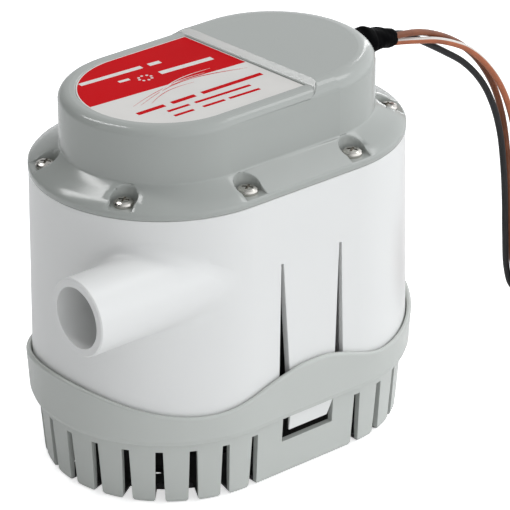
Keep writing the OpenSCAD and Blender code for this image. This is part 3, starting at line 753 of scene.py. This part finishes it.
def swept_tube(name, path, radius, sides, material, body, marked=None):
    """Round tube along a path, turned as little as it can be. `marked` is the way its line faces."""
    tangents = [
        (path[min(i + 1, len(path) - 1)] - path[max(i - 1, 0)]).normalized()
        for i in range(len(path))
    ]
    side = (marked or Vector((0, 1, 0))).copy()
    side = (side - side.dot(tangents[0]) * tangents[0]).normalized()
    points, around = [], []
    for place, tangent in zip(path, tangents):
        side = (side - side.dot(tangent) * tangent).normalized()
        other = tangent.cross(side)
        for k in range(sides):
            angle = 2 * math.pi * k / sides
            points.append(place + radius * (math.cos(angle) * side + math.sin(angle) * other))
            around.append(math.cos(angle))
    tube = make_object(name, points, ring_faces(len(path), sides), material, body)
    layer = tube.data.attributes.new("around", "FLOAT", "POINT")
    layer.data.foreach_set("value", around)
    for polygon in tube.data.polygons:
        if len(polygon.vertices) > 4:
            polygon.use_smooth = False
    return tube


def make_leads(looks):
    slots = {"black": "wire_black", "brown": "wire_brown", "stripe": "wire_orange"}
    for name, slot in slots.items():
        path = lead_points(name)
        tube = swept_tube(
            "lead_" + name, path, WIRE_D / 2, 16, looks[slot], "pump", Vector((0.1, -0.45, 0.9))
        )
        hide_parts("wire_" + name, "coil_" + name)


# ---- Body details ----


def wall_point(phi, radius):
    """Point of the wall straight behind a circle of that radius round the spout's axis."""
    y = SPOUT_Y + radius * math.cos(phi)
    z = SPOUT_Z + radius * math.sin(phi)
    reach = wall_radius(z) ** 2 - y * y
    return Vector((-HALF_LEN - math.sqrt(max(reach, 0.0)), y, z))


def spout_radius(x):
    """Outer radius of the spout, which has a little draft behind the length the hose covers."""
    return SPOUT_R + SPOUT_DRAFT * max(x - SPOUT_DRAFT_X, 0.0) / SPOUT_DRAFT_RUN


def make_spout_fillet(look):
    """Smooth run from the spout into the housing wall, wide where the wall falls away."""
    rings, steps = 96, 14
    run, widest, narrowest, chord = 7.0, 5.5, 0.3, 0.25
    inner_sink = 0.06
    points = []
    for k in range(rings):
        phi = 2 * math.pi * k / rings
        meet = wall_point(phi, SPOUT_R)
        spread = widest
        if math.cos(phi) < 0:
            room = (wall_radius(SPOUT_Z) + SPOUT_Y - 0.02) / -math.cos(phi) - SPOUT_R
            spread = min(spread, max(room, narrowest))
        start = wall_point(phi, spout_radius(meet.x - run)) + Vector((-run, 0, 0))
        end = wall_point(phi, SPOUT_R + spread)
        before = wall_point(phi, SPOUT_R + spread - chord)
        along = (end - before).normalized()
        size = (end - start).length
        bend_a = start + Vector((1, 0, 0)) * size * 0.45
        bend_b = end - along * size * 0.45
        centre = Vector((0, SPOUT_Y, SPOUT_Z))
        for i in range(steps + 1):
            t = i / steps
            p = (
                (1 - t) ** 3 * start
                + 3 * (1 - t) ** 2 * t * bend_a
                + 3 * (1 - t) * t * t * bend_b
                + t ** 3 * end
            )
            out = Vector((0, p.y, p.z)) - centre
            sink = inner_sink * (abs(2 * t - 1) ** 4)
            p = p - out.normalized() * sink + Vector((1, 0, 0)) * sink * t
            points.append(p)
    faces = []
    for k in range(rings):
        for i in range(steps):
            a = (steps + 1) * k + i
            b = (steps + 1) * ((k + 1) % rings) + i
            faces.append((a, a + 1, b + 1, b))
    skin = make_object("spout_fillet", points, faces, look, "pump")
    return skin


def slab(name, outline, low, high, look, body):
    """Thin closed plate between two heights, from an outline in X and Y."""
    count = len(outline)
    points = [(x, y, low) for x, y in outline] + [(x, y, high) for x, y in outline]
    plate = make_object(name, points, ring_faces(2, count), look, body, smooth=False)
    return plate


def bar_outline(start, end, width):
    a, b = Vector(start), Vector(end)
    side = (b - a).normalized().orthogonal() * width / 2
    return [tuple(p) for p in (a - side, b - side, b + side, a + side)]


def sweep_outline(start, end, rise, width):
    """Thin bow from start to end, widest in the middle."""
    a, b = Vector(start), Vector(end)
    side = (b - a).normalized().orthogonal()
    if side.y < 0:
        side = -side
    steps = 20
    upper, lower = [], []
    for i in range(steps + 1):
        t = i / steps
        middle = a.lerp(b, t) + side * rise * math.sin(math.pi * t)
        half = side * width / 2 * (0.25 + 0.75 * math.sin(math.pi * t))
        upper.append(tuple(middle + half))
        lower.append(tuple(middle - half))
    return lower + upper[::-1]


def make_print():
    """Generic print on the label: bars for lines of text, swept lines and a plain ring of dots."""
    red, white = print_ink("red_ink", LABEL_RED), print_ink("white_ink", LABEL_WHITE)
    low, high = LABEL_TOP - 0.02, LABEL_TOP + 0.015
    for name, bars, ink in (("red_bar", RED_BARS, red), ("white_bar", WHITE_BARS, white)):
        for i, bar in enumerate(bars):
            slab(f"{name}_{i}", bar_outline(*bar), low, high, ink, "pump")
    for i, (start, end, rise, width, is_red) in enumerate(SWEEPS):
        ink = red if is_red else white
        outline = sweep_outline(start, end, rise, width)
        slab(f"sweep_{i}", outline, low, high + 0.004 * i, ink, "pump")
    for i in range(RING_DOTS):
        turn = 2 * math.pi * i / RING_DOTS
        x = RING_AT[0] + RING_SIZE[0] * math.cos(turn)
        y = RING_AT[1] + RING_SIZE[1] * math.sin(turn)
        angles = [a * math.pi / 6 for a in range(12)]
        dot = [(x + DOT_R * math.cos(a), y + DOT_R * math.sin(a)) for a in angles]
        slab(f"ring_dot_{i}", dot, low, high, white, "pump")


def wave_height(x):
    """Height of the collar's lip at x on the front, as in the CAD source."""
    low, bay, turn, flat = WAVE_RIGHT if x > 0 else WAVE_LEFT
    across = abs(x)
    angle = 90.0
    if across > HALF_LEN:
        angle = math.degrees(math.acos(min(1.0, (across - HALF_LEN) / COLLAR_IN)))
    if angle < turn:
        return low + (WAVE_END - low) * (0.5 + 0.5 * math.cos(math.pi * angle / turn))
    share = min(max(across - flat, 0.0) / (bay - flat), 1.0)
    return low + (WAVE_MID - low) * (0.5 + 0.5 * math.cos(math.pi * share))


def track_frame(distance, radius):
    """Place on the racetrack at that distance along it, and the way out from it there."""
    straight, bend = 2 * HALF_LEN, math.pi * radius
    for side in (1, -1):
        if distance <= straight:
            return Vector((side * (distance - HALF_LEN), -side * radius, 0)), Vector((0, -side, 0))
        distance -= straight
        if distance <= bend:
            angle = distance / radius - math.pi / 2
            out = Vector((side * math.cos(angle), side * math.sin(angle), 0))
            return Vector((side * HALF_LEN, 0, 0)) + radius * out, out
        distance -= bend
    return Vector((-HALF_LEN, -radius, 0)), Vector((0, -1, 0))


def make_collar_lip(look):
    """Rounded bead along the wavy top edge of the strainer's collar."""
    steps = 10
    total = 2 * (2 * HALF_LEN + math.pi * COLLAR_IN)
    count = 300
    points = []
    for k in range(count):
        place, out = track_frame(total * k / count, COLLAR_IN)
        height = wave_height(place.x if place.y < 0 else -place.x)
        share = (height - LIP_H - COLLAR_LOW[0]) / (COLLAR_HIGH[0] - COLLAR_LOW[0])
        outside = COLLAR_LOW[1] + (COLLAR_HIGH[1] - COLLAR_LOW[1]) * share + 0.02
        half = (outside - COLLAR_IN + 0.03) / 2
        middle = COLLAR_IN - 0.03 + half
        profile = [(middle - half, -LIP_H - 0.35)]
        for i in range(steps + 1):
            angle = math.pi * (1 - i / steps)
            rise = (LIP_H - 0.15) * (abs(math.sin(angle)) ** 0.8 - 1)
            profile.append((middle + half * math.cos(angle), rise))
        profile.append((middle + half - 0.02, -LIP_H - 0.35))
        for radius, up in profile:
            p = place + out * (radius - COLLAR_IN)
            points.append((p.x, p.y, height + up))
    sides = len(profile)
    faces = []
    for k in range(count):
        near, far = sides * k, sides * ((k + 1) % count)
        for i in range(sides):
            after = (i + 1) % sides
            faces.append((near + i, near + after, far + after, far + i))
    lip = make_object("collar_lip", points, faces, look, "base")


def make_latch_root(name, turn, look):
    """Skin over the line where a latch tongue bends, so that tongue and wall look like one piece."""
    low, high = HINGE_Z - 5.0, HINGE_Z + 5.0
    columns, rows = 20, 12
    outer, inner = [], []
    for j in range(rows + 1):
        z = low + (high - low) * j / rows
        half = TONGUE_TOP - 0.06 - TONGUE_TAPER * max(HINGE_Z - z, 0.0)
        for i in range(columns + 1):
            x = LATCH_X + half * (2 * i / columns - 1)
            past = max(abs(x) - HALF_LEN, 0.0)
            radius = wall_radius(z)
            outer.append((x, -math.sqrt((radius + 0.012) ** 2 - past * past), z))
            inner.append((x, -math.sqrt((radius - 0.35) ** 2 - past * past), z))
    width = columns + 1
    offset = len(outer)
    points = [(turn * x, turn * y, z) for x, y, z in outer + inner]
    faces = []
    for j in range(rows):
        for i in range(columns):
            a = width * j + i
            faces.append((a, a + 1, a + width + 1, a + width))
            faces.append((offset + a, offset + a + width, offset + a + width + 1, offset + a + 1))
    border = (
        [width * j for j in range(rows, 0, -1)]
        + list(range(0, columns))
        + [width * j + columns for j in range(rows)]
        + [width * rows + i for i in range(columns, 0, -1)]
    )
    for a, b in zip(border, border[1:] + border[:1]):
        faces.append((a, offset + a, offset + b, b))
    skin = make_object(name + "_root", points, faces, look, None)
    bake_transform(skin)


def make_boot(look):
    """Shrunk sleeve over the leads where they leave the lid, with a bulge on top and soft folds."""
    sides = 40
    folds_from, folds_grow = 62.0, 2.0
    bulge_at, bulge_reach, bulge_rise = 69.6, 2.2, 0.9
    path = catmull([(x, 0, z) for x, z, *_ in BOOT], 0.35)
    points = []
    for place in path:
        t = place.x
        i = max(k for k, station in enumerate(BOOT) if station[0] <= t + 1e-6)
        i = min(i, len(BOOT) - 2)
        share = (t - BOOT[i][0]) / (BOOT[i + 1][0] - BOOT[i][0])
        share = share * share * (3 - 2 * share)
        wide = BOOT[i][2] + (BOOT[i + 1][2] - BOOT[i][2]) * share
        tall = BOOT[i][3] + (BOOT[i + 1][3] - BOOT[i][3]) * share
        shown = min(max((t - folds_from) / folds_grow, 0.0), 1.0)
        for k in range(sides):
            angle = 2 * math.pi * k / sides
            fold = 0.16 * math.sin(3 * angle + 0.55 * t) + 0.11 * math.sin(5 * angle - 0.8 * t)
            swell = bulge_rise * math.exp(-((t - bulge_at) / bulge_reach) ** 2)
            bulge = swell * max(math.sin(angle), 0.0) ** 2
            grow = shown * (fold + bulge)
            points.append(
                (t, (wide + grow) * math.cos(angle), place.z + (tall + grow) * math.sin(angle))
            )
    boot = make_object("boot", points, ring_faces(len(path), sides), look, "pump")
    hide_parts("cable_boot")


def soften_edges(frame):
    """Small rounds on the moulded parts' sharp edges."""
    for name, width in EDGE_ROUNDS.items():
        node = frame["nodes"][name]
        weld = node.modifiers.new("weld", "WELD")
        weld.merge_threshold = 0.002 * MM
        bevel = node.modifiers.new("edges", "BEVEL")
        bevel.width = width * MM
        bevel.segments = 2
        bevel.limit_method = "ANGLE"
        bevel.angle_limit = math.radians(40)
        bevel.use_clamp_overlap = False
        bevel.harden_normals = False


def give_looks(frame, looks):
    """The CAD nodes that show get the material of their slot, by the record."""
    for part in frame["record"]["subparts"]:
        node = frame["nodes"][part["node"]]
        node.data.materials.clear()
        node.data.materials.append(looks[part["material_slot"]])


def main():
    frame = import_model()
    looks = make_materials()
    make_camera()
    make_leads(looks)
    make_stage()
    give_looks(frame, looks)
    make_spout_fillet(looks["housing_white"])
    make_collar_lip(looks["base_grey"])
    make_latch_root("latch_front", 1, looks["housing_white"])
    make_latch_root("latch_back", -1, looks["housing_white"])
    make_boot(looks["black_rubber"])
    make_print()
    soften_edges(frame)


main()
